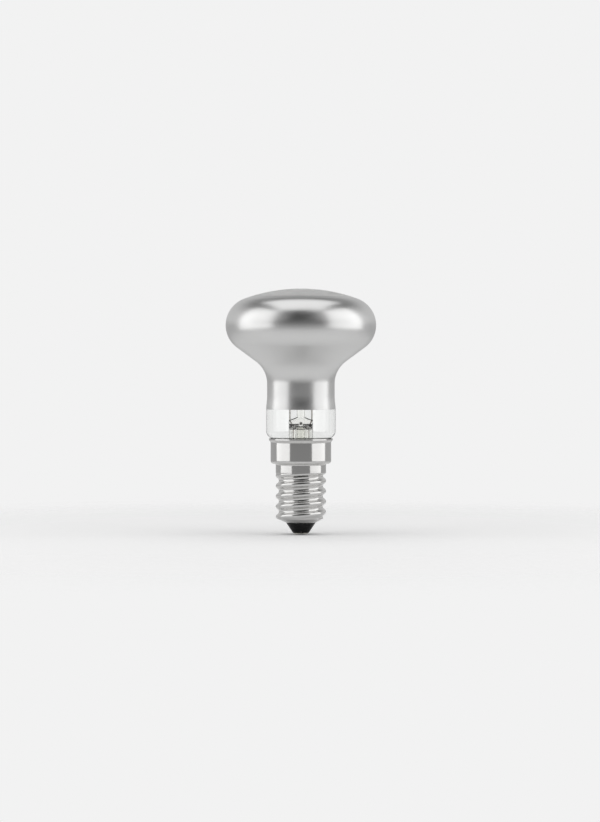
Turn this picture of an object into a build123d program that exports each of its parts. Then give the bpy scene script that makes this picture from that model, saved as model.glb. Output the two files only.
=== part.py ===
from build123d import *
import os
from math import acos, asin, atan, cos, degrees, radians, sin, sqrt, tan

# Reflector bulb on a small screw cap, in millimetres.
# The origin is the middle of the contact's end face, +Z runs up the lamp's axis, and the front faces -Y.

# Centre contact and its black glass insulator
solder_height = 0.25
solder_radius = 1.7
solder_edge_radius = 0.2
plate_thickness = 0.2
plate_radius = 2.0
eyelet_radius = 0.9
eyelet_bore_radius = 0.55
eyelet_length = 1.4
insulator_tip_radius = 2.2
insulator_cone_height = 2.75
insulator_rise = 2.0
insulator_dish_radius = 4.2
insulator_clearance = 0.05

# Screw shell, rolled and drawn from one sheet
shell_wall = 0.3
mouth_radius = 4.05
shell_taper_height = 1.15
thread_major_radius = 6.85
thread_depth = 0.85
thread_pitch = 2.822
thread_length = 12.55
thread_crest_z = 6.19
runout_height = 0.85
shank_length = 2.4
collar_step = 1.4
collar_length = 6.9
collar_corner_radius = 0.8
shank_corner_radius = 0.35
rim_flare = 0.44
rim_height = 1.3
rim_bend_radius = 0.8

# Glass envelope and the mirror on its inside
glass_wall = 0.7
film_thickness = 0.1
neck_overhang = 1.25
neck_swell = 0.29
band_height = 7.1
swell_height = 4.7
waist_length = 3.1
neck_fillet = 7.5
flank_angle = 53.5
head_radius = 20.5
lower_edge_radius = 7.5
upper_edge_radius = 7.7
dome_radius = 45.0
clear_height = 7.9
window_radius = 14.0
shoulder_radius = 2.2
tuck_radius = 1.0
rim_gap = 0.4
cement_gap = 0.5
lead_room = 0.9

# Stem: flare, press, arbor and button in one piece of glass, with the exhaust tube under it
stem_wall = 0.8
stem_radius = 3.3
flare_radius = 3.0
flange_edge_radius = 0.3
press_base_height = 2.4
press_shoulder_height = 1.2
press_height = 2.5
press_depth = 2.4
press_fillet = 1.0
press_top_radius = 0.9
hollow_rise = 0.9
gable_rise = 1.3
blow_hole_radius = 0.6
arbor_radius = 1.1
button_radius = 1.7
exhaust_radius = 1.55
exhaust_wall = 0.5
exhaust_tip_z = 12.0
exhaust_tip_radius = 0.9

# Wires and filament
inner_lead_radius = 0.2
seal_wire_radius = 0.17
outer_lead_radius = 0.13
support_radius = 0.1
lead_spread = 3.0
lead_spread_low = 2.0
filament_radius = 0.35
filament_drop = 6.5
filament_half_middle = 2.4
filament_half_span = 5.6
filament_sag = 1.2
filament_bend = 0.8
hook_length = 1.0
hook_bend = 0.35
hook_rise = 1.5
lead_bend = 1.2
lead_bend_drop = 7.5
support_half_gap = 0.9
support_clearance = 0.04
support_loop_angle = 250.0
button_drop = 4.6
wire_grip = 0.9
solder_blob_radius = 0.8

# Heights of the cap, from the contact's end upwards
plate_z = solder_height
insulator_z = plate_z + plate_thickness
shell_z = insulator_z + insulator_cone_height
thread_z = shell_z + shell_taper_height
shank_z = thread_z + thread_length
runout_z = shank_z - runout_height
collar_z = shank_z + shank_length
collar_floor_z = collar_z + shell_wall
rim_z = collar_z + collar_length

# Radii of the cap that follow from the sheet's thickness
thread_root_radius = thread_major_radius - thread_depth
collar_radius = thread_major_radius + collar_step
mouth_bore_radius = mouth_radius - shell_wall
root_bore_radius = thread_root_radius - shell_wall
collar_bore_radius = collar_radius - shell_wall
rim_radius = collar_radius + rim_flare
rim_bore_radius = rim_radius - shell_wall
thread_mean_radius = thread_major_radius - thread_depth / 2
shank_radius = thread_major_radius
taper_slope = shell_taper_height / (thread_mean_radius - mouth_radius)
runout_slope = (shank_radius - thread_mean_radius) / runout_height

# Glass neck, fitted to the cap's collar
band_radius = collar_radius + neck_overhang
waist_radius = band_radius - neck_swell
seal_radius = collar_bore_radius - cement_gap
seal_z = collar_floor_z + lead_room + stem_wall
glass_radius_at_rim = rim_bore_radius - rim_gap
shoulder_reach = glass_radius_at_rim - (band_radius - shoulder_radius)
shoulder_z = rim_z + sqrt(shoulder_radius**2 - shoulder_reach**2)
tuck_angle = degrees(acos(1 - (band_radius - seal_radius) / (shoulder_radius + tuck_radius)))
tuck_z = shoulder_z - (shoulder_radius + tuck_radius) * sin(radians(tuck_angle))
band_top_z = rim_z + band_height
waist_z = band_top_z + swell_height
waist_top_z = waist_z + waist_length
swell_angle = 2 * degrees(atan(neck_swell / swell_height))
swell_radius = swell_height / (2 * sin(radians(swell_angle)))
mirror_edge_z = rim_z + clear_height

# Glass head: flank cone between the neck's fillet and the lower edge, then the upper edge and the dome
flank_sin = sin(radians(flank_angle))
flank_cos = cos(radians(flank_angle))
flank_top_radius = head_radius - lower_edge_radius * (1 - flank_cos)
flank_bottom_radius = waist_radius + neck_fillet * (1 - flank_cos)
flank_height = (flank_top_radius - flank_bottom_radius) / tan(radians(flank_angle))
equator_z = waist_top_z + (neck_fillet + lower_edge_radius) * flank_sin + flank_height
dome_half_angle = degrees(asin((head_radius - upper_edge_radius) / (dome_radius - upper_edge_radius)))
dome_centre_z = equator_z - (dome_radius - upper_edge_radius) * cos(radians(dome_half_angle))

# Stem and filament
stem_bore_radius = stem_radius - stem_wall
press_z = rim_z + press_base_height
hollow_dome_radius = (stem_bore_radius**2 + hollow_rise**2) / (2 * hollow_rise)
hollow_dome_z = press_z + hollow_rise - hollow_dome_radius
hollow_dome_angle = degrees(asin(stem_bore_radius / hollow_dome_radius))
hollow_top_z = press_z + hollow_rise
eaves_z = press_z + press_height
gable_z = eaves_z + gable_rise
filament_z = equator_z - filament_drop
filament_end_z = filament_z - filament_sag
button_z = filament_z - button_drop
support_loop_radius = filament_radius + support_radius + support_clearance


def turned(points, radii=None):
    """Solid turned about Z from a closed outline of (radius, height) points, with corner radii if given."""
    if radii is None:
        outline = Polyline(*points, close=True)
    else:
        outline = FilletPolyline(*points, radius=radii, close=True)
    return revolve(Plane.XZ * make_face(outline), axis=Axis.Z)


def bent_wire(points, wire_radius, bends):
    """Round wire along straight runs with a bend of the given radius at each corner."""
    path = FilletPolyline(*points, radius=bends)
    start = Plane(origin=path @ 0, z_dir=path % 0)
    return sweep(start * Circle(wire_radius), path=path)


def straight_wire(start, end, wire_radius):
    """Round straight wire between two points."""
    run = Line(start, end)
    return sweep(Plane(origin=run @ 0, z_dir=run % 0) * Circle(wire_radius), path=run)


def thread_section(z, radius):
    """Level circle through the thread: its centre is off the axis, and turns once in each pitch."""
    turn = radians(360 * (z - thread_crest_z) / thread_pitch)
    offset = thread_depth / 2
    return Pos(offset * cos(turn), offset * sin(turn), z) * Circle(radius)


def cap_form(inset):
    """Solid form of the screw shell at a depth under its outer face, from the mouth up to the rim."""
    taper_shift = inset * (sqrt(1 + taper_slope**2) - taper_slope)
    runout_shift = inset * (sqrt(1 + runout_slope**2) - 1) / runout_slope
    bottom_z = shell_z + taper_shift
    thread_bottom_z = thread_z + taper_shift
    thread_top_z = runout_z + runout_shift
    shank_bottom_z = shank_z + runout_shift
    thread_radius = thread_mean_radius - inset

    first_section = thread_section(thread_bottom_z, thread_radius)
    last_section = thread_section(thread_top_z, thread_radius)
    rolled_length = thread_top_z - thread_bottom_z
    start_angle = 360 * (thread_bottom_z - thread_crest_z) / thread_pitch
    helix = Helix(thread_pitch, rolled_length, thread_depth / 2, center=(0, 0, thread_bottom_z))
    thread = sweep(first_section, path=Rot(0, 0, start_angle) * helix, normal=(0, 0, 1))
    taper = loft([Pos(0, 0, bottom_z) * Circle(mouth_radius - inset), first_section], ruled=True)
    runout = loft([last_section, Pos(0, 0, shank_bottom_z) * Circle(shank_radius - inset)], ruled=True)
    collar = turned(
        [
            (0, shank_bottom_z),
            (shank_radius - inset, shank_bottom_z),
            (shank_radius - inset, collar_z + inset),
            (collar_radius - inset, collar_z + inset),
            (collar_radius - inset, rim_z - rim_height),
            (rim_radius - inset, rim_z),
            (0, rim_z),
        ],
        [0, 0, shank_corner_radius + inset, collar_corner_radius - inset, rim_bend_radius, 0, 0],
    )
    return taper + thread + runout + collar


def make_cap_shell():
    """Screw shell: rolled thread with a tapered mouth below, plain shank and wide collar above."""
    mouth_bore = turned(
        [(0, shell_z), (mouth_bore_radius, shell_z), (mouth_bore_radius, thread_z), (0, thread_z)]
    )
    return cap_form(0) - cap_form(shell_wall) - mouth_bore


def make_cap_insulator():
    """Black glass moulded into the shell's mouth, dished on top and bored for the contact's eyelet."""
    top_z = thread_z + insulator_rise
    inner_radius = root_bore_radius - insulator_clearance
    plug = turned([(0, shell_z), (inner_radius, shell_z), (inner_radius, top_z), (0, top_z)])
    plug = plug & cap_form(shell_wall)
    cone = turned(
        [
            (0, insulator_z),
            (insulator_tip_radius, insulator_z),
            (mouth_radius, shell_z),
            (mouth_bore_radius, shell_z),
            (mouth_bore_radius, thread_z),
            (0, thread_z),
        ]
    )
    dish = turned(
        [
            (0, insulator_z),
            (eyelet_radius, insulator_z),
            (eyelet_radius, insulator_z + eyelet_length),
            (insulator_dish_radius, top_z),
            (0, top_z),
        ]
    )
    return plug + cone - dish


def make_contact_plate():
    """Brass contact plate with a drawn eyelet that the centre wire comes down through."""
    return turned(
        [
            (eyelet_bore_radius, plate_z),
            (plate_radius, plate_z),
            (plate_radius, insulator_z),
            (eyelet_radius, insulator_z),
            (eyelet_radius, insulator_z + eyelet_length),
            (eyelet_bore_radius, insulator_z + eyelet_length),
        ]
    )


def make_contact_solder(wire):
    """Flattened solder drop under the contact plate, run up round the wire inside the eyelet."""
    drop = turned(
        [(0, 0), (solder_radius, 0), (solder_radius, plate_z), (0, plate_z)], [0, solder_edge_radius, 0, 0]
    )
    plug_top_z = insulator_z + eyelet_length / 2
    plug = turned(
        [(0, plate_z), (eyelet_bore_radius, plate_z), (eyelet_bore_radius, plug_top_z), (0, plug_top_z)]
    )
    return drop + plug - wire


def envelope_outline(inset):
    """Glass outline from the middle of the front down to the seal, at a depth under the outer face."""
    dome = CenterArc((0, dome_centre_z), dome_radius - inset, 90, -dome_half_angle)
    upper_edge = CenterArc(
        (head_radius - upper_edge_radius, equator_z),
        upper_edge_radius - inset,
        90 - dome_half_angle,
        dome_half_angle - 90,
    )
    lower_edge = CenterArc(
        (head_radius - lower_edge_radius, equator_z), lower_edge_radius - inset, 0, -flank_angle
    )
    throat = CenterArc(
        (waist_radius + neck_fillet, waist_top_z), neck_fillet + inset, 180 - flank_angle, flank_angle
    )
    swell_upper = CenterArc((waist_radius + swell_radius, waist_z), swell_radius + inset, 180, swell_angle)
    swell_lower = CenterArc(
        (band_radius - swell_radius, band_top_z), swell_radius - inset, swell_angle, -swell_angle
    )
    shoulder = CenterArc(
        (band_radius - shoulder_radius, shoulder_z), shoulder_radius - inset, 0, -tuck_angle
    )
    tuck = CenterArc((seal_radius + tuck_radius, tuck_z), tuck_radius + inset, 180 - tuck_angle, tuck_angle)
    return [
        dome,
        upper_edge,
        lower_edge,
        Line(lower_edge @ 1, throat @ 0),
        throat,
        Line(throat @ 1, swell_upper @ 0),
        swell_upper,
        swell_lower,
        Line(swell_lower @ 1, shoulder @ 0),
        shoulder,
        tuck,
        Line(tuck @ 1, (seal_radius - inset, seal_z)),
    ]


def glass_layer(outer_inset, inner_inset):
    """Solid turned between two depths under the glass's outer face."""
    outer = envelope_outline(outer_inset)
    inner = envelope_outline(inner_inset)
    ends = [Line(outer[0] @ 0, inner[0] @ 0), Line(outer[-1] @ 1, inner[-1] @ 1)]
    return revolve(Plane.XZ * make_face(outer + inner + ends), axis=Axis.Z)


def make_mirror_coating():
    """Aluminium film inside the glass, from its sharp edge on the neck round to the front window."""
    apex_z = dome_centre_z + dome_radius
    film = glass_layer(glass_wall, glass_wall + film_thickness)
    silvered = turned(
        [(0, mirror_edge_z), (head_radius, mirror_edge_z), (head_radius, apex_z), (0, apex_z)]
    )
    window = turned([(0, equator_z), (window_radius, equator_z), (window_radius, apex_z), (0, apex_z)])
    return (film & silvered) - window


def make_stem_blank():
    """Flare tube pinched flat between two jaws, with a gabled top, before the wires and holes."""
    flare_top_z = seal_z + flare_radius
    throat = CenterArc((stem_radius + flare_radius, flare_top_z), flare_radius, 180, 90)
    foot = Polyline(
        throat @ 1, (seal_radius, seal_z), (seal_radius, seal_z - stem_wall), (0, seal_z - stem_wall)
    )
    core = Polyline((0, seal_z - stem_wall), (0, gable_z), (stem_radius, gable_z), throat @ 0)
    blank = revolve(Plane.XZ * make_face([throat, *foot.edges(), *core.edges()]), axis=Axis.Z)
    foot_edge = blank.edges().filter_by(GeomType.CIRCLE).group_by(Axis.Z)[0]
    blank = fillet(foot_edge, flange_edge_radius)

    jaw_reach = 2 * stem_radius
    jaw_outline = FilletPolyline(
        (press_depth / 2, gable_z),
        (press_depth / 2, press_z + press_shoulder_height),
        (stem_radius, press_z),
        (jaw_reach, press_z),
        (jaw_reach, gable_z),
        radius=[0, press_fillet, 0, 0, 0],
        close=True,
    )
    jaw = extrude(Plane.YZ * make_face(jaw_outline), amount=stem_radius, both=True)
    gable_outline = Polyline(
        (0, gable_z), (stem_radius, eaves_z), (jaw_reach, eaves_z), (jaw_reach, gable_z), close=True
    )
    gable = extrude(Plane.XZ * make_face(gable_outline), amount=stem_radius, both=True)
    pinched = blank - jaw - mirror(jaw, Plane.XZ) - gable - mirror(gable, Plane.YZ)
    top_edges = pinched.edges().filter_by(
        lambda edge: edge.center().Z > eaves_z and abs(edge.center().Y) > press_depth / 4
    )
    return fillet(top_edges.filter_by(GeomType.LINE), press_top_radius)


def make_stem_bore():
    """Hollow of the flare, which ends in a shallow dome under the press."""
    bore_arc = CenterArc(
        (stem_radius + flare_radius, seal_z + flare_radius), flare_radius + stem_wall, 180, 90
    )
    dome = CenterArc((0, hollow_dome_z), hollow_dome_radius, 90, -hollow_dome_angle)
    middle = Polyline(bore_arc @ 1, (0, seal_z - stem_wall), dome @ 0)
    side = Line(dome @ 1, bore_arc @ 0)
    return revolve(Plane.XZ * make_face([bore_arc, *middle.edges(), dome, side]), axis=Axis.Z)


def make_stem(blank, hollow, seal_wires, supports):
    """Stem with its hollow flare, blow hole, arbor and button, bored for the wires that it holds."""
    blow_axis = Plane(origin=(0, 0, press_z), z_dir=(0, -1, 1))
    blow_hole = blow_axis * Cylinder(
        blow_hole_radius, 2 * press_height, align=(Align.CENTER, Align.CENTER, Align.MIN)
    )
    arbor = turned([(0, eaves_z), (arbor_radius, eaves_z), (arbor_radius, button_z), (0, button_z)])
    button = Pos(0, 0, button_z) * Sphere(button_radius)
    stem = blank - hollow - blow_hole + arbor + button
    for wire in seal_wires + supports:
        stem -= wire
    return stem


def make_exhaust_tube(glass):
    """Exhaust tube fused under the press, tipped off to a rounded end inside the cap."""
    bore_radius = exhaust_radius - exhaust_wall
    bore_end_z = exhaust_tip_z + 2 * exhaust_wall
    tube_top_z = hollow_dome_z + sqrt(hollow_dome_radius**2 - bore_radius**2)
    tube = turned(
        [
            (0, exhaust_tip_z),
            (exhaust_radius, exhaust_tip_z),
            (exhaust_radius, tube_top_z),
            (bore_radius, tube_top_z),
            (bore_radius, bore_end_z),
            (0, bore_end_z),
        ],
        [0, exhaust_tip_radius, 0, 0, exhaust_tip_radius / 2, 0],
    )
    return tube - glass


def make_seal_wire(side, glass):
    """Copper-clad wire through the press, leaning outwards, cut flush with the press at both ends."""
    foot_z = hollow_dome_z + sqrt(hollow_dome_radius**2 - lead_spread_low**2)
    lean = (lead_spread - lead_spread_low) / (eaves_z - foot_z)
    top_z = gable_z + gable_rise
    top_x = lead_spread_low + lean * (top_z - foot_z)
    bottom_x = lead_spread_low - lean * (foot_z - press_z)
    rod = straight_wire((side * bottom_x, 0, press_z), (side * top_x, 0, top_z), seal_wire_radius)
    return rod & glass


def make_inner_lead(side, blank):
    """Nickel wire that stands on the press, splays out in the head and hooks onto the filament's end."""
    run = filament_half_span - filament_half_middle
    length = sqrt(run**2 + filament_sag**2)
    hook_x = filament_half_span + hook_length * run / length
    hook_z = filament_end_z - hook_length * filament_sag / length
    wire = bent_wire(
        [
            (side * lead_spread, 0, press_z + press_shoulder_height),
            (side * lead_spread, 0, filament_z - lead_bend_drop),
            (side * hook_x, 0, hook_z - hook_rise),
            (side * hook_x, 0, hook_z),
            (side * filament_half_span, 0, filament_end_z),
        ],
        inner_lead_radius,
        [lead_bend, lead_bend, hook_bend],
    )
    return wire - blank


def make_outer_lead_contact(glass):
    """Wire from the press down past the exhaust tube and through the eyelet to the centre contact."""
    turn_z = exhaust_tip_z - exhaust_radius
    axis_z = thread_z + insulator_rise
    wire = bent_wire(
        [
            (-lead_spread_low, 0, hollow_top_z),
            (-lead_spread_low, 0, turn_z),
            (0, 0, axis_z),
            (0, 0, solder_height / 2),
        ],
        outer_lead_radius,
        [lead_bend, lead_bend],
    )
    return wire - glass


def make_outer_lead_side(glass):
    """Wire from the press out under the flare and up the back of the neck to the cap's rim."""
    under_z = collar_floor_z + lead_room / 2
    gap_radius = (seal_radius + collar_bore_radius) / 2
    rim_middle_radius = rim_bore_radius - rim_gap / 2
    wire = bent_wire(
        [
            (lead_spread_low, 0, hollow_top_z),
            (lead_spread_low, 0, seal_z + flare_radius / 2),
            (lead_spread_low / 2, gap_radius / 2, under_z),
            (0, gap_radius, under_z),
            (0, gap_radius, rim_z - rim_height),
            (0, rim_middle_radius, rim_z - outer_lead_radius),
        ],
        outer_lead_radius,
        [lead_bend / 2, lead_bend / 2, lead_room / 2, lead_bend / 2],
    )
    return wire - glass


def make_filament():
    """Coil's outer form: a rod bent over the two supports, with a sloping end to each lead."""
    return bent_wire(
        [
            (-filament_half_span, 0, filament_end_z),
            (-filament_half_middle, 0, filament_z),
            (filament_half_middle, 0, filament_z),
            (filament_half_span, 0, filament_end_z),
        ],
        filament_radius,
        [filament_bend, filament_bend],
    )


def make_support(side):
    """Support wire that rises from the button and loops over the filament."""
    loop_plane = Plane(origin=(side * support_half_gap, 0, filament_z), x_dir=(0, 1, 0), z_dir=(1, 0, 0))
    grip_z = button_z + button_radius - wire_grip - filament_z
    stalk = Line((support_loop_radius, grip_z), (support_loop_radius, 0))
    loop = CenterArc((0, 0), support_loop_radius, 0, support_loop_angle)
    path = loop_plane * Wire([stalk, loop])
    start = Plane(origin=path @ 0, z_dir=path % 0)
    return sweep(start * Circle(support_radius), path=path)


def make_basing_cement(side_lead):
    """Ring of cement that fixes the glass neck in the collar, with the side wire bedded in it."""
    top_z = min(rim_z - rim_height, tuck_z)
    outer_radius = collar_bore_radius
    ring = turned(
        [(seal_radius, seal_z), (outer_radius, seal_z), (outer_radius, top_z), (seal_radius, top_z)]
    )
    return ring - side_lead


def make_side_solder(neighbours):
    """Solder drop at the back of the cap's rim, round the end of the side wire."""
    drop = Pos(0, rim_bore_radius, rim_z) * Sphere(solder_blob_radius)
    for neighbour in neighbours:
        drop -= neighbour
    return drop


parts = {}
parts["cap_shell"] = make_cap_shell()
parts["cap_insulator"] = make_cap_insulator()
parts["contact_plate"] = make_contact_plate()
parts["glass_envelope"] = glass_layer(0, glass_wall)
parts["mirror_coating"] = make_mirror_coating()

stem_blank = make_stem_blank()
stem_hollow = make_stem_bore()
stem_glass = stem_blank - stem_hollow
seal_left = make_seal_wire(-1, stem_glass)
seal_right = make_seal_wire(1, stem_glass)
support_left = make_support(-1)
support_right = make_support(1)
parts["glass_stem"] = make_stem(
    stem_blank, stem_hollow, [seal_left, seal_right], [support_left, support_right]
)
parts["seal_wire_left"] = seal_left
parts["seal_wire_right"] = seal_right
parts["filament_support_left"] = support_left
parts["filament_support_right"] = support_right
parts["exhaust_tube"] = make_exhaust_tube(stem_glass)
parts["inner_lead_left"] = make_inner_lead(-1, stem_blank)
parts["inner_lead_right"] = make_inner_lead(1, stem_blank)
parts["filament"] = make_filament()

contact_lead = make_outer_lead_contact(stem_glass)
side_lead = make_outer_lead_side(stem_glass)
parts["outer_lead_contact"] = contact_lead
parts["outer_lead_side"] = side_lead
parts["contact_solder"] = make_contact_solder(contact_lead)
parts["basing_cement"] = make_basing_cement(side_lead)
parts["side_solder"] = make_side_solder([parts["cap_shell"], parts["glass_envelope"], side_lead])

os.makedirs("parts", exist_ok=True)
for name, solid in parts.items():
    export_step(solid, f"parts/{name}.step")
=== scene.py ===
import math

import bpy
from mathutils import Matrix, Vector


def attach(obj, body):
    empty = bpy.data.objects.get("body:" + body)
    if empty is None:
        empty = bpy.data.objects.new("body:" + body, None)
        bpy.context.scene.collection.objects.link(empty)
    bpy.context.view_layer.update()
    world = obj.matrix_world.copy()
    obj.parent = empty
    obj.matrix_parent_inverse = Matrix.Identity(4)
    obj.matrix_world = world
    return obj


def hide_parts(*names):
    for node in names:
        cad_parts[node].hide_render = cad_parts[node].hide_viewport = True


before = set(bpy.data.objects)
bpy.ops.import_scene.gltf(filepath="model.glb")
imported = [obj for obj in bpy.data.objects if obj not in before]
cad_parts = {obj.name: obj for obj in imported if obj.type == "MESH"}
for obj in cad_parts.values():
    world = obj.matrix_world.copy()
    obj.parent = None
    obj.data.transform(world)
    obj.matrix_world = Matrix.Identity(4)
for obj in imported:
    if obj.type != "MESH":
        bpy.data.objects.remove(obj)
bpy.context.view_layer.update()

# Glass stem
# A flare of lead glass tube, pinched flat while soft round the wires, with the arbor drawn up from it
# and a button melted on its tip. The bulb's neck is fused to the rim of the flare.
MM = 0.001
stem_face_colour = (0.97, 0.97, 0.945, 1)
stem_face_end = 0.42
# Colour of the painted shade along the tube's sides.
stem_side_painted_shade = (0.25, 0.25, 0.23, 1)
stem_side_start = 0.66


def new_finish(name):
    """New material with its shader, ready to be set."""
    finish = bpy.data.materials.new(name)
    finish.use_nodes = True
    return finish, finish.node_tree.nodes["Principled BSDF"]


def object_noise(finish, size, detail, stretch=(1, 1, 1)):
    """Noise with spots of about the given size in metres, fixed to the piece."""
    nodes = finish.node_tree.nodes
    links = finish.node_tree.links
    coordinates = nodes.new("ShaderNodeTexCoord")
    mapping = nodes.new("ShaderNodeMapping")
    mapping.inputs["Scale"].default_value = stretch
    noise = nodes.new("ShaderNodeTexNoise")
    noise.inputs["Scale"].default_value = 1 / size
    noise.inputs["Detail"].default_value = detail
    links.new(coordinates.outputs["Object"], mapping.inputs["Vector"])
    links.new(mapping.outputs["Vector"], noise.inputs["Vector"])
    return noise.outputs["Fac"]


def ripple(finish, shader, value, height):
    """Bumps of the given height in metres, raised by the value."""
    bump = finish.node_tree.nodes.new("ShaderNodeBump")
    bump.inputs["Strength"].default_value = 1.0
    bump.inputs["Distance"].default_value = height
    finish.node_tree.links.new(value, bump.inputs["Height"])
    finish.node_tree.links.new(bump.outputs["Normal"], shader.inputs["Normal"])


def dress(node_name, finish):
    """Gives a node that keeps its shape its finish."""
    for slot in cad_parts[node_name].material_slots:
        slot.material = finish


# The glass is tinted dark along the tube's sides, where it is seen at a slant: painted shade that stands in
# for the dark edges a glass tube shows.
stem_glass, stem_shader = new_finish("stem_glass")
stem_slant = stem_glass.node_tree.nodes.new("ShaderNodeLayerWeight")
stem_slant.inputs["Blend"].default_value = 0.5
stem_slant_shade_ramp = stem_glass.node_tree.nodes.new("ShaderNodeValToRGB")
stem_slant_shade_ramp.color_ramp.elements[0].position = stem_face_end
stem_slant_shade_ramp.color_ramp.elements[0].color = stem_face_colour
stem_slant_shade_ramp.color_ramp.elements[1].position = stem_side_start
stem_slant_shade_ramp.color_ramp.elements[1].color = stem_side_painted_shade
stem_glass.node_tree.links.new(stem_slant.outputs["Facing"], stem_slant_shade_ramp.inputs["Fac"])
stem_glass.node_tree.links.new(stem_slant_shade_ramp.outputs["Color"], stem_shader.inputs["Base Color"])
stem_shader.inputs["Transmission Weight"].default_value = 1.0
stem_shader.inputs["IOR"].default_value = 1.55
stem_shader.inputs["Roughness"].default_value = 0.02
stem_waves = object_noise(stem_glass, size=1.5 * MM, detail=1.0)
ripple(stem_glass, stem_shader, stem_waves, height=0.02 * MM)
dress("glass_stem", stem_glass)

# Exhaust tube
# A thin tube of the same glass under the press. The bulb is pumped out through it, and its end is then
# melted shut inside the cap.
dress("exhaust_tube", stem_glass)

# Lead-in wires
# Each lead is three wires welded end to end: nickel inside the bulb, a copper-clad wire that the glass can
# grip through the press, and copper down to the cap.
noise_low = 0.3
noise_high = 0.7


def new_metal(name, colour):
    """New material of bare metal in the given colour, with its shader."""
    finish, shader = new_finish(name)
    shader.inputs["Base Color"].default_value = (*colour, 1)
    shader.inputs["Metallic"].default_value = 1.0
    return finish, shader


def vary_roughness(finish, shader, value, low, high):
    """Roughness that goes from low to high over the usual range of a noise."""
    stretch = finish.node_tree.nodes.new("ShaderNodeMapRange")
    stretch.inputs["From Min"].default_value = noise_low
    stretch.inputs["From Max"].default_value = noise_high
    stretch.inputs["To Min"].default_value = low
    stretch.inputs["To Max"].default_value = high
    finish.node_tree.links.new(value, stretch.inputs["Value"])
    finish.node_tree.links.new(stretch.outputs["Result"], shader.inputs["Roughness"])


nickel, nickel_shader = new_metal("nickel_wire", (0.46, 0.44, 0.41))
nickel_grain = object_noise(nickel, size=0.3 * MM, detail=3.0, stretch=(1, 1, 0.2))
vary_roughness(nickel, nickel_shader, nickel_grain, low=0.28, high=0.46)
dress("inner_lead_left", nickel)
dress("inner_lead_right", nickel)

copper, copper_shader = new_metal("copper_wire", (0.3, 0.245, 0.21))
copper_grain = object_noise(copper, size=0.4 * MM, detail=3.0, stretch=(1, 1, 0.3))
vary_roughness(copper, copper_shader, copper_grain, low=0.3, high=0.5)
for wire in ("seal_wire_left", "seal_wire_right", "outer_lead_contact", "outer_lead_side"):
    dress(wire, copper)

# Filament supports
# Two thin molybdenum wires stuck into the soft button, each curled into an open loop that the filament
# hangs through without being gripped.
molybdenum, molybdenum_shader = new_metal("molybdenum_wire", (0.42, 0.42, 0.43))
molybdenum_grain = object_noise(molybdenum, size=0.2 * MM, detail=2.0)
vary_roughness(molybdenum, molybdenum_shader, molybdenum_grain, low=0.3, high=0.45)
dress("filament_support_left", molybdenum)
dress("filament_support_right", molybdenum)

# Filament
# Tungsten wire wound into a fine coil, bent over the two supports and clamped in the hooks of the leads.
# Each of its three straight runs is a small ring wound along by a screw, then turned into place.
coil_radius = 0.28 * MM
coil_wire_radius = 0.065 * MM
coil_wire_sides = 8
coil_pitch = 0.2 * MM
coil_turn_steps = 16
coil_seam = 0.001 * MM
coil_middle_half = 2.4 * MM
coil_end_x = 5.6 * MM
coil_z = 50.5 * MM
coil_sag = 1.2 * MM
smooth_angle = math.radians(40)


def finish_mesh():
    """Puts the active piece's place into its mesh and shades it smooth."""
    bpy.ops.object.transform_apply(location=True, rotation=True, scale=True)
    bpy.ops.object.shade_smooth_by_angle(angle=smooth_angle)


def wind_coil(name, start, end):
    """One straight run of the coil between two points in the plane of the front."""
    length = math.dist(start, end)
    turns = round(length / coil_pitch)
    bpy.ops.object.select_all(action="DESELECT")
    bpy.ops.mesh.primitive_circle_add(
        vertices=coil_wire_sides,
        radius=coil_wire_radius,
        location=(coil_radius, 0, 0),
        rotation=(math.radians(90), 0, 0),
    )
    run = bpy.context.object
    run.name = name
    bpy.ops.object.transform_apply(location=True, rotation=True, scale=True)
    winding = run.modifiers.new("winding", "SCREW")
    winding.axis = "Z"
    winding.angle = 2 * math.pi
    winding.screw_offset = length / turns
    winding.iterations = turns
    winding.steps = coil_turn_steps
    winding.render_steps = coil_turn_steps
    winding.use_merge_vertices = True
    winding.merge_threshold = coil_seam
    bpy.ops.object.modifier_apply(modifier=winding.name)
    bpy.ops.object.mode_set(mode="EDIT")
    bpy.ops.mesh.select_all(action="SELECT")
    bpy.ops.mesh.fill_holes(sides=coil_wire_sides)
    bpy.ops.mesh.select_all(action="SELECT")
    bpy.ops.mesh.normals_make_consistent(inside=False)
    bpy.ops.object.mode_set(mode="OBJECT")
    slope = math.atan2(end[0] - start[0], end[2] - start[2])
    run.rotation_euler = (0, slope, 0)
    run.location = start
    finish_mesh()
    return run


coil_left = (-coil_end_x, 0, coil_z - coil_sag)
coil_bend_left = (-coil_middle_half, 0, coil_z)
coil_bend_right = (coil_middle_half, 0, coil_z)
coil_right = (coil_end_x, 0, coil_z - coil_sag)
coil_middle = wind_coil("filament_coil", coil_bend_left, coil_bend_right)
coil_slope_left = wind_coil("filament_slope_left", coil_left, coil_bend_left)
coil_slope_right = wind_coil("filament_slope_right", coil_bend_right, coil_right)
bpy.ops.object.select_all(action="DESELECT")
for run in (coil_slope_left, coil_slope_right, coil_middle):
    run.select_set(True)
bpy.context.view_layer.objects.active = coil_middle
bpy.ops.object.join()

tungsten, tungsten_shader = new_metal("tungsten_coil", (0.3, 0.3, 0.31))
tungsten_grain = object_noise(tungsten, size=0.1 * MM, detail=2.0)
vary_roughness(tungsten, tungsten_shader, tungsten_grain, low=0.35, high=0.55)
coil_middle.data.materials.append(tungsten)
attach(coil_middle, "root")
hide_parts("filament")

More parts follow.
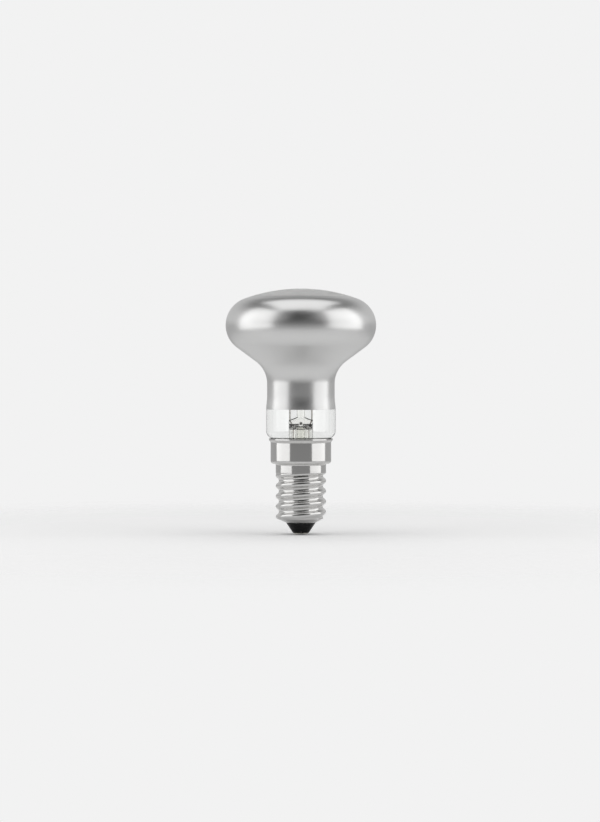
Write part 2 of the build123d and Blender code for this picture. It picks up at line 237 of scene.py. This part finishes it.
# Glass bulb
# Blown in a mould as one thin wall, which thins round the shoulder above the cap, and fused to the stem
# inside the cap. The mirror film shows through all of it but the clear band of the neck and the window in
# the dome, which is frosted.
wall = 0.7 * MM
head_radius = 20.5 * MM
dome_radius = 45.0 * MM
upper_edge_radius = 7.7 * MM
lower_edge_radius = 7.5 * MM
window_radius = 14.0 * MM
flank_angle = math.radians(53.5)
throat_radius = 7.5 * MM
waist_radius = 9.21 * MM
waist_z = 38.0 * MM
waist_top_z = 41.1 * MM
equator_z = 57.0 * MM
band_radius = 9.5 * MM
band_top_z = 33.3 * MM
mirror_edge_z = 34.1 * MM
shoulder_radius = 2.2 * MM
shoulder_at_rim_radius = 7.99 * MM
shoulder_at_rim_z = 26.2 * MM
shoulder_thinning = 0.4
tuck_radius = 1.0 * MM
seal_radius = 7.45 * MM
seal_z = 21.3 * MM
bulb_segments = 118
end_share = 0.03
merge_distance = 0.002 * MM

dome_angle = math.asin((head_radius - upper_edge_radius) / (dome_radius - upper_edge_radius))
dome_centre_z = equator_z - (dome_radius - upper_edge_radius) * math.cos(dome_angle)
window_angle = math.asin(window_radius / dome_radius)
flank_top = head_radius - lower_edge_radius * (1 - math.cos(flank_angle))
flank_bottom = waist_radius + throat_radius * (1 - math.cos(flank_angle))
flank_top_z = equator_z - lower_edge_radius * math.sin(flank_angle)
flank_bottom_z = waist_top_z + throat_radius * math.sin(flank_angle)
swell_height = waist_z - band_top_z
swell_angle = 2 * math.atan((band_radius - waist_radius) / swell_height)
swell_radius = swell_height / (2 * math.sin(swell_angle))
mirror_edge_angle = math.asin((mirror_edge_z - band_top_z) / swell_radius)
shoulder_reach = shoulder_at_rim_radius - (band_radius - shoulder_radius)
shoulder_z = shoulder_at_rim_z + math.sqrt(shoulder_radius**2 - shoulder_reach**2)
tuck_angle = math.acos(1 - (band_radius - seal_radius) / (shoulder_radius + tuck_radius))
tuck_z = shoulder_z - (shoulder_radius + tuck_radius) * math.sin(tuck_angle)
shoulder_end_z = shoulder_z - shoulder_radius * math.sin(tuck_angle)


def start_outline(name, radius, z):
    """Starts a piece as one point on its outline, left open for editing."""
    bpy.ops.object.select_all(action="DESELECT")
    bpy.ops.mesh.primitive_plane_add(size=MM, location=(radius, 0, z))
    piece = bpy.context.object
    piece.name = name
    bpy.ops.object.transform_apply(location=True, rotation=True, scale=True)
    bpy.ops.object.mode_set(mode="EDIT")
    bpy.ops.mesh.select_all(action="SELECT")
    bpy.ops.mesh.merge(type="CENTER")
    return piece


def arc_outwards(centre_radius, centre_z, angle, steps):
    """Carries the outline's end round a centre that lies inside the glass."""
    bpy.ops.mesh.spin(steps=steps, angle=angle, center=(centre_radius, 0, centre_z), axis=(0, -1, 0))


def arc_inwards(centre_radius, centre_z, angle, steps):
    """Carries the outline's end round a centre that lies outside the glass."""
    bpy.ops.mesh.spin(steps=steps, angle=angle, center=(centre_radius, 0, centre_z), axis=(0, 1, 0))


def line_by(across, up):
    """Carries the outline's end along a straight line, with a short step at each end to keep it flat."""
    for share in (end_share, 1 - 2 * end_share, end_share):
        bpy.ops.mesh.extrude_region_move(TRANSFORM_OT_translate={"value": (share * across, 0, share * up)})


def spin_round(steps):
    """Turns the finished outline once round the lamp's axis and closes the seam."""
    bpy.ops.mesh.select_all(action="SELECT")
    bpy.ops.mesh.spin(steps=steps, angle=2 * math.pi, center=(0, 0, 0), axis=(0, 0, 1))
    bpy.ops.mesh.select_all(action="SELECT")
    bpy.ops.mesh.remove_doubles(threshold=merge_distance)
    bpy.ops.mesh.normals_make_consistent(inside=False)


bulb = start_outline("glass_bulb", 0, dome_centre_z + dome_radius)
arc_outwards(0, dome_centre_z, window_angle, steps=18)
arc_outwards(0, dome_centre_z, dome_angle - window_angle, steps=3)
arc_outwards(head_radius - upper_edge_radius, equator_z, math.pi / 2 - dome_angle, steps=28)
arc_outwards(head_radius - lower_edge_radius, equator_z, flank_angle, steps=22)
line_by(flank_bottom - flank_top, flank_bottom_z - flank_top_z)
arc_inwards(waist_radius + throat_radius, waist_top_z, flank_angle, steps=22)
line_by(0, waist_z - waist_top_z)
arc_inwards(waist_radius + swell_radius, waist_z, swell_angle, steps=6)
arc_outwards(band_radius - swell_radius, band_top_z, swell_angle - mirror_edge_angle, steps=4)
arc_outwards(band_radius - swell_radius, band_top_z, mirror_edge_angle, steps=3)
line_by(0, shoulder_z - band_top_z)
arc_outwards(band_radius - shoulder_radius, shoulder_z, tuck_angle, steps=12)
arc_inwards(seal_radius + tuck_radius, tuck_z, tuck_angle, steps=8)
line_by(0, seal_z - tuck_z)
spin_round(bulb_segments)
bpy.ops.object.mode_set(mode="OBJECT")

silvered, silvered_shader = new_metal("silvered_glass", (0.79, 0.79, 0.785))
silvered_shader.inputs["Coat Weight"].default_value = 0.08
silvered_shader.inputs["Coat Roughness"].default_value = 0.08
silvered_cloud = object_noise(silvered, size=6.0 * MM, detail=3.0)
vary_roughness(silvered, silvered_shader, silvered_cloud, low=0.28, high=0.33)

clear_glass, clear_shader = new_finish("clear_bulb_glass")
clear_shader.inputs["Base Color"].default_value = (0.985, 0.99, 0.985, 1)
clear_shader.inputs["Transmission Weight"].default_value = 1.0
clear_shader.inputs["IOR"].default_value = 1.5
clear_shader.inputs["Roughness"].default_value = 0.0
clear_waves = object_noise(clear_glass, size=5.0 * MM, detail=0.0)
ripple(clear_glass, clear_shader, clear_waves, height=0.004 * MM)

frosted, frosted_shader = new_finish("frosted_window")
frosted_shader.inputs["Base Color"].default_value = (0.96, 0.96, 0.95, 1)
frosted_shader.inputs["Transmission Weight"].default_value = 0.4
frosted_shader.inputs["IOR"].default_value = 1.5
frosted_cloud = object_noise(frosted, size=3.0 * MM, detail=4.0)
vary_roughness(frosted, frosted_shader, frosted_cloud, low=0.42, high=0.52)
frosted_pits = object_noise(frosted, size=0.3 * MM, detail=2.0)
ripple(frosted, frosted_shader, frosted_pits, height=0.008 * MM)

bulb_finishes = [silvered, clear_glass, frosted]
for finish in bulb_finishes:
    bulb.data.materials.append(finish)
for face in bulb.data.polygons:
    face_radius = math.hypot(face.center.x, face.center.y)
    if face.center.z < mirror_edge_z:
        face.material_index = bulb_finishes.index(clear_glass)
    elif face.center.z > equator_z and face_radius < window_radius:
        face.material_index = bulb_finishes.index(frosted)

# The wall is thinnest where the shoulder ends, and has its full thickness again below the tuck.
wall_share = bulb.vertex_groups.new(name="wall_share")
for point in bulb.data.vertices:
    share = 1.0
    if shoulder_end_z <= point.co.z < shoulder_z:
        turn = math.asin(min(1, (shoulder_z - point.co.z) / shoulder_radius))
        share = 1 - shoulder_thinning * (turn / tuck_angle) ** 2
    elif tuck_z < point.co.z < shoulder_end_z:
        share = 1 - shoulder_thinning * (point.co.z - tuck_z) / (shoulder_end_z - tuck_z)
    wall_share.add([point.index], share, "REPLACE")
blown_wall = bulb.modifiers.new("blown_wall", "SOLIDIFY")
blown_wall.vertex_group = wall_share.name
blown_wall.thickness = wall
blown_wall.offset = -1
blown_wall.use_even_offset = True
bpy.ops.object.modifier_apply(modifier=blown_wall.name)
finish_mesh()
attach(bulb, "root")
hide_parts("glass_envelope")

# Mirror film
# Aluminium boiled off a hot wire inside the bulb, which leaves a bright film on the glass down to a sharp
# edge on the neck. It is seen from inside through the clear band.
film, film_shader = new_metal("mirror_film", (0.9, 0.9, 0.89))
film_cloud = object_noise(film, size=4.0 * MM, detail=2.0)
vary_roughness(film, film_shader, film_cloud, low=0.2, high=0.3)
dress("mirror_coating", film)

# Cap shell
# Drawn from one aluminium sheet: a tapered mouth, a plain shank and a wide collar that flares to a short
# upright lip, with a thread rolled in. It is carried up ring by ring, and the sheet's thickness is then
# added inside, where its faces are near-black: painted shade for the dark gap between the glass and the rim.
sheet = 0.3 * MM
cut_edge_radius = 0.1 * MM
cut_edge_angle = math.radians(80)
mouth_radius = 4.05 * MM
mouth_z = 3.2 * MM
taper_steps = 6
thread_z = 4.35 * MM
thread_top_z = 16.05 * MM
thread_mean_radius = 6.425 * MM
thread_offset = 0.425 * MM
thread_pitch = 2.822 * MM
thread_crest_z = 6.19 * MM
thread_steps = 28
thread_fade = 0.25 * thread_pitch
runout_steps = 8
shank_radius = 6.85 * MM
shank_z = 16.9 * MM
shank_corner = 0.35 * MM
shank_corner_steps = 6
collar_z = 19.3 * MM
collar_radius = 8.25 * MM
collar_corner = 0.8 * MM
collar_corner_steps = 9
flare_z = 25.1 * MM
flare_steps = 10
lip_z = 25.8 * MM
rim_z = 26.17 * MM
rim_radius = 8.69 * MM
shell_segments = 112

bpy.ops.object.select_all(action="DESELECT")
bpy.ops.mesh.primitive_circle_add(vertices=shell_segments, radius=mouth_radius, location=(0, 0, mouth_z))
shell = bpy.context.object
shell.name = "screw_shell"
bpy.ops.object.transform_apply(location=True, rotation=True, scale=True)
bpy.ops.object.mode_set(mode="EDIT")
bpy.ops.mesh.select_all(action="SELECT")
ring = {"x": 0.0, "y": 0.0, "z": mouth_z, "radius": mouth_radius}


def raise_ring(x, y, z, radius):
    """Carries the shell's open end up to a new ring with its own middle and radius."""
    move = (x - ring["x"], y - ring["y"], z - ring["z"])
    bpy.ops.mesh.extrude_edges_move(TRANSFORM_OT_translate={"value": move})
    growth = radius / ring["radius"]
    bpy.ops.transform.resize(value=(growth, growth, 1), center_override=(x, y, z))
    ring.update(x=x, y=y, z=z, radius=radius)


def raise_wall(z, radius):
    """Carries a plain wall straight up, with a short step at each end to keep it flat."""
    low_z = ring["z"]
    for share in (end_share, 1 - end_share, 1):
        raise_ring(0, 0, low_z + share * (z - low_z), radius)


def thread_middle(z):
    """Middle of the thread's level section, which turns once round the axis in each pitch."""
    turn = 2 * math.pi * (z - thread_crest_z) / thread_pitch
    return thread_offset * math.cos(turn), thread_offset * math.sin(turn)


def ease(share):
    """Share that starts and ends gently."""
    return share * share * (3 - 2 * share)


start_x, start_y = thread_middle(thread_z)
for step in range(1, taper_steps + 1):
    share = step / taper_steps
    taper_radius = mouth_radius + share * (thread_mean_radius - mouth_radius)
    raise_ring(share * start_x, share * start_y, mouth_z + share * (thread_z - mouth_z), taper_radius)

rolled_steps = round(thread_steps * (thread_top_z - thread_z) / thread_pitch)
for step in range(1, rolled_steps + 1):
    z = thread_z + (thread_top_z - thread_z) * step / rolled_steps
    middle_x, middle_y = thread_middle(z)
    raise_ring(middle_x, middle_y, z, thread_mean_radius)

for step in range(1, runout_steps + 1):
    share = step / runout_steps
    z = thread_top_z + share * (shank_z - thread_top_z)
    middle_x, middle_y = thread_middle(z)
    offset_left = 1 - ease(share)
    runout_radius = thread_mean_radius + ease(share) * (shank_radius - thread_mean_radius)
    raise_ring(offset_left * middle_x, offset_left * middle_y, z, runout_radius)

raise_wall(collar_z - shank_corner, shank_radius)
for step in range(1, shank_corner_steps + 1):
    turn = math.pi / 2 * step / shank_corner_steps
    corner_z = collar_z - shank_corner + shank_corner * math.sin(turn)
    raise_ring(0, 0, corner_z, shank_radius + shank_corner * (1 - math.cos(turn)))
for step in range(0, collar_corner_steps + 1):
    turn = math.pi / 2 * step / collar_corner_steps
    corner_z = collar_z + collar_corner * (1 - math.cos(turn))
    raise_ring(0, 0, corner_z, collar_radius - collar_corner * (1 - math.sin(turn)))
raise_wall(flare_z, collar_radius)
for step in range(1, flare_steps + 1):
    share = step / flare_steps
    flare_radius = collar_radius + ease(share) * (rim_radius - collar_radius)
    raise_ring(0, 0, flare_z + share * (lip_z - flare_z), flare_radius)
raise_wall(rim_z, rim_radius)

bpy.ops.mesh.select_all(action="SELECT")
bpy.ops.mesh.remove_doubles(threshold=merge_distance)
bpy.ops.mesh.normals_make_consistent(inside=False)
bpy.ops.object.mode_set(mode="OBJECT")

aluminium, aluminium_shader = new_metal("drawn_aluminium", (0.735, 0.73, 0.72))
aluminium_rings = object_noise(aluminium, size=0.12 * MM, detail=2.0, stretch=(0.02, 0.02, 1))
vary_roughness(aluminium, aluminium_shader, aluminium_rings, low=0.1, high=0.15)
shell.data.materials.append(aluminium)

# The inside faces get a near-black finish, which is painted shade: it darkens the gap seen between the glass
# and the rim.
painted_inside_shade, painted_inside_shade_shader = new_finish("painted_shade_inside")
painted_inside_shade_shader.inputs["Base Color"].default_value = (0.1, 0.095, 0.085, 1)
painted_inside_shade_cloud = object_noise(painted_inside_shade, size=1.0 * MM, detail=3.0)
vary_roughness(painted_inside_shade, painted_inside_shade_shader, painted_inside_shade_cloud, low=0.6, high=0.85)
shell.data.materials.append(painted_inside_shade)

# The thread's crests and roots are rolled to round arcs, which fade in at both ends of the thread.
half_pitch = thread_pitch / 2
roll_radius = (half_pitch**2 / 4 + thread_offset**2) / (2 * thread_offset)
for point in shell.data.vertices:
    fade = min(point.co.z - thread_z, thread_top_z - point.co.z) / thread_fade
    if fade > 0:
        turn = math.atan2(point.co.y, point.co.x) / (2 * math.pi)
        turn -= (point.co.z - thread_crest_z) / thread_pitch
        from_crest = abs(turn - round(turn)) * thread_pitch
        from_root = half_pitch - from_crest
        if from_crest < from_root:
            rise = thread_offset - roll_radius + math.sqrt(roll_radius**2 - from_crest**2)
        else:
            rise = roll_radius - thread_offset - math.sqrt(roll_radius**2 - from_root**2)
        rolled = thread_mean_radius + rise
        plain = math.hypot(point.co.x, point.co.y)
        growth = 1 + min(1, fade) * (rolled / plain - 1)
        point.co.x *= growth
        point.co.y *= growth

sheet_wall = shell.modifiers.new("sheet_wall", "SOLIDIFY")
sheet_wall.thickness = sheet
sheet_wall.offset = -1
sheet_wall.use_even_offset = True
# The inside faces take the second finish, the painted shade.
sheet_wall.material_offset = 1
bpy.ops.object.modifier_apply(modifier=sheet_wall.name)
bpy.ops.object.mode_set(mode="EDIT")
bpy.ops.mesh.select_mode(type="EDGE")
bpy.ops.mesh.select_all(action="DESELECT")
bpy.ops.mesh.edges_select_sharp(sharpness=cut_edge_angle)
bpy.ops.object.mode_set(mode="OBJECT")
for edge in shell.data.edges:
    edge_z = shell.data.vertices[edge.vertices[0]].co.z
    if mouth_z + sheet < edge_z < rim_z - cut_edge_radius:
        edge.select = False
bpy.ops.object.mode_set(mode="EDIT")
bpy.ops.mesh.bevel(offset=cut_edge_radius, segments=3)
bpy.ops.object.mode_set(mode="OBJECT")
finish_mesh()
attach(shell, "root")
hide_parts("cap_shell")

# Insulator
# Black glass pressed hot into the shell's mouth, where it grips the sheet's edge, with a cone below that
# keeps the contact away from the shell.
black_glass, black_shader = new_finish("black_glass")
black_shader.inputs["Base Color"].default_value = (0.006, 0.006, 0.0065, 1)
black_shader.inputs["IOR"].default_value = 1.55
black_shader.inputs["Specular IOR Level"].default_value = 0.2
black_grain = object_noise(black_glass, size=0.8 * MM, detail=3.0)
vary_roughness(black_glass, black_shader, black_grain, low=0.16, high=0.3)
ripple(black_glass, black_shader, black_grain, height=0.01 * MM)
dress("cap_insulator", black_glass)

# Contact plate
# A brass eyelet plate set into the insulator, with the centre wire drawn down through it. Its face was
# tinned in the solder bath, so it shows grey.
brass, brass_shader = new_metal("contact_brass", (0.55, 0.53, 0.48))
brass_grain = object_noise(brass, size=0.4 * MM, detail=3.0)
vary_roughness(brass, brass_shader, brass_grain, low=0.25, high=0.45)
dress("contact_plate", brass)

# Basing cement
# Resin and marble dust, spread in the collar and baked, which holds the glass neck in the cap.
cement, cement_shader = new_finish("basing_cement")
cement_grain = object_noise(cement, size=0.25 * MM, detail=4.0)
cement_colour = cement.node_tree.nodes.new("ShaderNodeValToRGB")
cement_colour.color_ramp.elements[0].position = noise_low
cement_colour.color_ramp.elements[0].color = (0.24, 0.22, 0.18, 1)
cement_colour.color_ramp.elements[1].position = noise_high
cement_colour.color_ramp.elements[1].color = (0.42, 0.39, 0.33, 1)
cement.node_tree.links.new(cement_grain, cement_colour.inputs["Fac"])
cement.node_tree.links.new(cement_colour.outputs["Color"], cement_shader.inputs["Base Color"])
cement_shader.inputs["Roughness"].default_value = 0.9
ripple(cement, cement_shader, cement_grain, height=0.04 * MM)
dress("basing_cement", cement)

# Solder
# A flattened drop of tin solder on the centre contact, and a round one that holds the side wire on the
# collar's rim at the back.
solder, solder_shader = new_metal("tin_solder", (0.58, 0.58, 0.59))
solder_grain = object_noise(solder, size=0.5 * MM, detail=3.0)
vary_roughness(solder, solder_shader, solder_grain, low=0.22, high=0.45)
ripple(solder, solder_shader, solder_grain, height=0.03 * MM)
dress("contact_solder", solder)
dress("side_solder", solder)

# Floor
# A plain pale sheet that the lamp stands on. It fades into the background away from the lamp, and is as
# bright as the background wherever nothing shades it.
floor_size = 1.6
floor_glow_level = 0.32
floor_mirrored_level = 0.14
floor_shade_reach = 0.12
floor_fade_start = 0.05
floor_fade_end = 0.2


def calculate(tree, operation, *values):
    """One sum in a node tree, on sockets and plain numbers."""
    node = tree.nodes.new("ShaderNodeMath")
    node.operation = operation
    for socket, value in zip(node.inputs, values):
        if isinstance(value, float):
            socket.default_value = value
        else:
            tree.links.new(value, socket)
    return node.outputs["Value"]


def fade_over(tree, value, start, end, low=0.0, high=1.0):
    """Smooth change from low to high while the value goes from start to end."""
    node = tree.nodes.new("ShaderNodeMapRange")
    node.interpolation_type = "SMOOTHSTEP"
    node.inputs["From Min"].default_value = start
    node.inputs["From Max"].default_value = end
    node.inputs["To Min"].default_value = low
    node.inputs["To Max"].default_value = high
    tree.links.new(value, node.inputs["Value"])
    return node.outputs["Result"]


bpy.ops.object.select_all(action="DESELECT")
bpy.ops.mesh.primitive_plane_add(size=floor_size, location=(0, 0, 0))
floor = bpy.context.object
floor.name = "floor"
floor_finish = bpy.data.materials.new("pale_floor")
floor_finish.use_nodes = True
floor_tree = floor_finish.node_tree
floor_tree.nodes.clear()
floor_output = floor_tree.nodes.new("ShaderNodeOutputMaterial")
floor_diffuse = floor_tree.nodes.new("ShaderNodeBsdfDiffuse")
floor_diffuse.inputs["Color"].default_value = (0.93, 0.93, 0.93, 1)
floor_ray = floor_tree.nodes.new("ShaderNodeLightPath").outputs
floor_shade = floor_tree.nodes.new("ShaderNodeAmbientOcclusion")
floor_shade.inputs["Distance"].default_value = floor_shade_reach
floor_seen = calculate(floor_tree, "MAXIMUM", floor_ray["Is Camera Ray"], floor_ray["Is Transmission Ray"])
floor_direct = calculate(floor_tree, "MULTIPLY", floor_seen, floor_glow_level)
floor_level = calculate(
    floor_tree, "MULTIPLY_ADD", floor_ray["Is Glossy Ray"], floor_mirrored_level, floor_direct
)
floor_shaded = calculate(floor_tree, "MULTIPLY", floor_level, floor_shade.outputs["AO"])
floor_glow = floor_tree.nodes.new("ShaderNodeEmission")
floor_tree.links.new(floor_shaded, floor_glow.inputs["Strength"])
floor_lit = floor_tree.nodes.new("ShaderNodeAddShader")
floor_tree.links.new(floor_diffuse.outputs["BSDF"], floor_lit.inputs[0])
floor_tree.links.new(floor_glow.outputs["Emission"], floor_lit.inputs[1])
floor_place = floor_tree.nodes.new("ShaderNodeTexCoord")
floor_distance = floor_tree.nodes.new("ShaderNodeVectorMath")
floor_distance.operation = "LENGTH"
floor_tree.links.new(floor_place.outputs["Object"], floor_distance.inputs[0])
floor_fade = fade_over(floor_tree, floor_distance.outputs["Value"], floor_fade_start, floor_fade_end)
floor_gone = floor_tree.nodes.new("ShaderNodeBsdfTransparent")
floor_mix = floor_tree.nodes.new("ShaderNodeMixShader")
floor_tree.links.new(floor_fade, floor_mix.inputs["Fac"])
floor_tree.links.new(floor_lit.outputs["Shader"], floor_mix.inputs[1])
floor_tree.links.new(floor_gone.outputs["BSDF"], floor_mix.inputs[2])
floor_tree.links.new(floor_mix.outputs["Shader"], floor_output.inputs["Surface"])
floor.data.materials.append(floor_finish)

# Softboxes
# Two tall softboxes at the sides, a little in front, and one overhead. They are large and near, so their
# light is soft, and they show as pale panels in the metal.
panel_level = 0.9
side_angle = math.radians(73)
side_distance = 0.26
side_x = side_distance * math.sin(side_angle)
side_y = -side_distance * math.cos(side_angle)
side_z = 0.19
side_width = 0.312
side_height = 0.38
top_y = -0.023
top_z = 0.46
top_width = 0.42
top_depth = 0.454


def hang_softbox(name, place, width, height, aim):
    """Softbox of the given size and a plain brightness, facing the given point."""
    bpy.ops.object.select_all(action="DESELECT")
    bpy.ops.object.light_add(type="AREA", location=place)
    box = bpy.context.object
    box.name = name
    box.data.shape = "RECTANGLE"
    box.data.size = width
    box.data.size_y = height
    box.data.energy = panel_level * math.pi * width * height
    box.visible_camera = False
    direction = Vector(aim) - Vector(place)
    box.rotation_euler = direction.to_track_quat("-Z", "Y").to_euler()


hang_softbox("softbox_left", (-side_x, side_y, side_z), side_width, side_height, (0, 0, side_z))
hang_softbox("softbox_right", (side_x, side_y, side_z), side_width, side_height, (0, 0, side_z))
hang_softbox("softbox_top", (0, top_y, top_z), top_width, top_depth, (0, top_y, 0))

# Surroundings
# A pale background for the camera and through the glass, and for the metal a plain room: grey behind, darker
# towards the camera and above it, paler in the upper corners beside the softboxes, and pale below.
background_level = 0.888
corner_level = 0.27
ground_level = 0.6
glass_middle_level = 0.855
glass_side_level = 0.45

world = bpy.data.worlds.new("studio")
bpy.context.scene.world = world
world.use_nodes = True
room = world.node_tree
room.nodes.clear()
room_output = room.nodes.new("ShaderNodeOutputWorld")
room_light = room.nodes.new("ShaderNodeBackground")
room_light.inputs["Color"].default_value = (1, 1, 1, 1)
room_ray = room.nodes.new("ShaderNodeLightPath").outputs
room_place = room.nodes.new("ShaderNodeTexCoord")
room_axes = room.nodes.new("ShaderNodeSeparateXYZ")
room.links.new(room_place.outputs["Generated"], room_axes.inputs["Vector"])
room_depth = room_axes.outputs["Y"]
room_height = room_axes.outputs["Z"]
room_aside = calculate(room, "ABSOLUTE", room_axes.outputs["X"])
room_lift = calculate(room, "MULTIPLY_ADD", room_height, 0.5, 0.5)


def room_side(stops):
    """Brightness of one side of the room by height, from stops of (height, level)."""
    ramp = room.nodes.new("ShaderNodeValToRGB")
    stop_list = ramp.color_ramp.elements
    while len(stop_list) < len(stops):
        stop_list.new(0.5)
    for stop, (height, level) in zip(stop_list, stops):
        stop.position = (height + 1) / 2
        stop.color = (level, level, level, 1)
    room.links.new(room_lift, ramp.inputs["Fac"])
    return ramp.outputs["Color"]


def mix_levels(share, first, second):
    """Goes by the share from the first level to the second, which may be a plain number."""
    node = room.nodes.new("ShaderNodeMix")
    node.data_type = "FLOAT"
    room.links.new(share, node.inputs["Factor"])
    room.links.new(first, node.inputs["A"])
    if isinstance(second, float):
        node.inputs["B"].default_value = second
    else:
        room.links.new(second, node.inputs["B"])
    return node.outputs["Result"]


room_front = room_side([(-0.04, 0.3), (0.0, 0.18), (0.1, 0.12), (0.35, 0.04), (0.6, 0.02), (0.9, 0.1)])
room_back = room_side([(0.0, 0.42), (0.12, 0.6), (0.42, 0.57), (0.6, 0.38), (0.74, 0.12), (0.9, 0.12)])
corner_aside = fade_over(room, room_aside, start=0.15, end=0.5)
corner_up = fade_over(room, room_height, start=0.15, end=0.4)
corner_share = calculate(room, "MULTIPLY", corner_aside, corner_up)
corner_seen = calculate(room, "MULTIPLY", corner_share, room_ray["Is Glossy Ray"])
room_ahead = mix_levels(corner_seen, room_front, corner_level)
behind_share = fade_over(room, room_depth, start=-0.4, end=0.3)
room_round = mix_levels(behind_share, room_ahead, room_back)
below_share = fade_over(room, room_height, start=-0.42, end=-0.12, low=1.0, high=0.0)
room_mirrored = mix_levels(below_share, room_round, ground_level)
room_through = fade_over(
    room, room_aside, start=0.76, end=0.954, low=glass_middle_level, high=glass_side_level
)
room_unseen = mix_levels(room_ray["Is Transmission Ray"], room_mirrored, room_through)
room_level = mix_levels(room_ray["Is Camera Ray"], room_unseen, background_level)
room.links.new(room_level, room_light.inputs["Strength"])
room.links.new(room_light.outputs["Background"], room_output.inputs["Surface"])

# Camera
# A long lens a little above the lamp's middle, as in the photograph, and a plain view of the colours.
camera_place = (-0.00024, -0.73, 0.046)
camera_tilt = math.radians(89.03)
bpy.ops.object.select_all(action="DESELECT")
bpy.ops.object.camera_add(location=camera_place)
camera = bpy.context.object
camera.name = "camera"
camera.data.sensor_width = 36
camera.data.lens = 117.3
camera.rotation_euler = (camera_tilt, 0, 0)
bpy.context.scene.camera = camera
bpy.context.scene.view_settings.view_transform = "Standard"
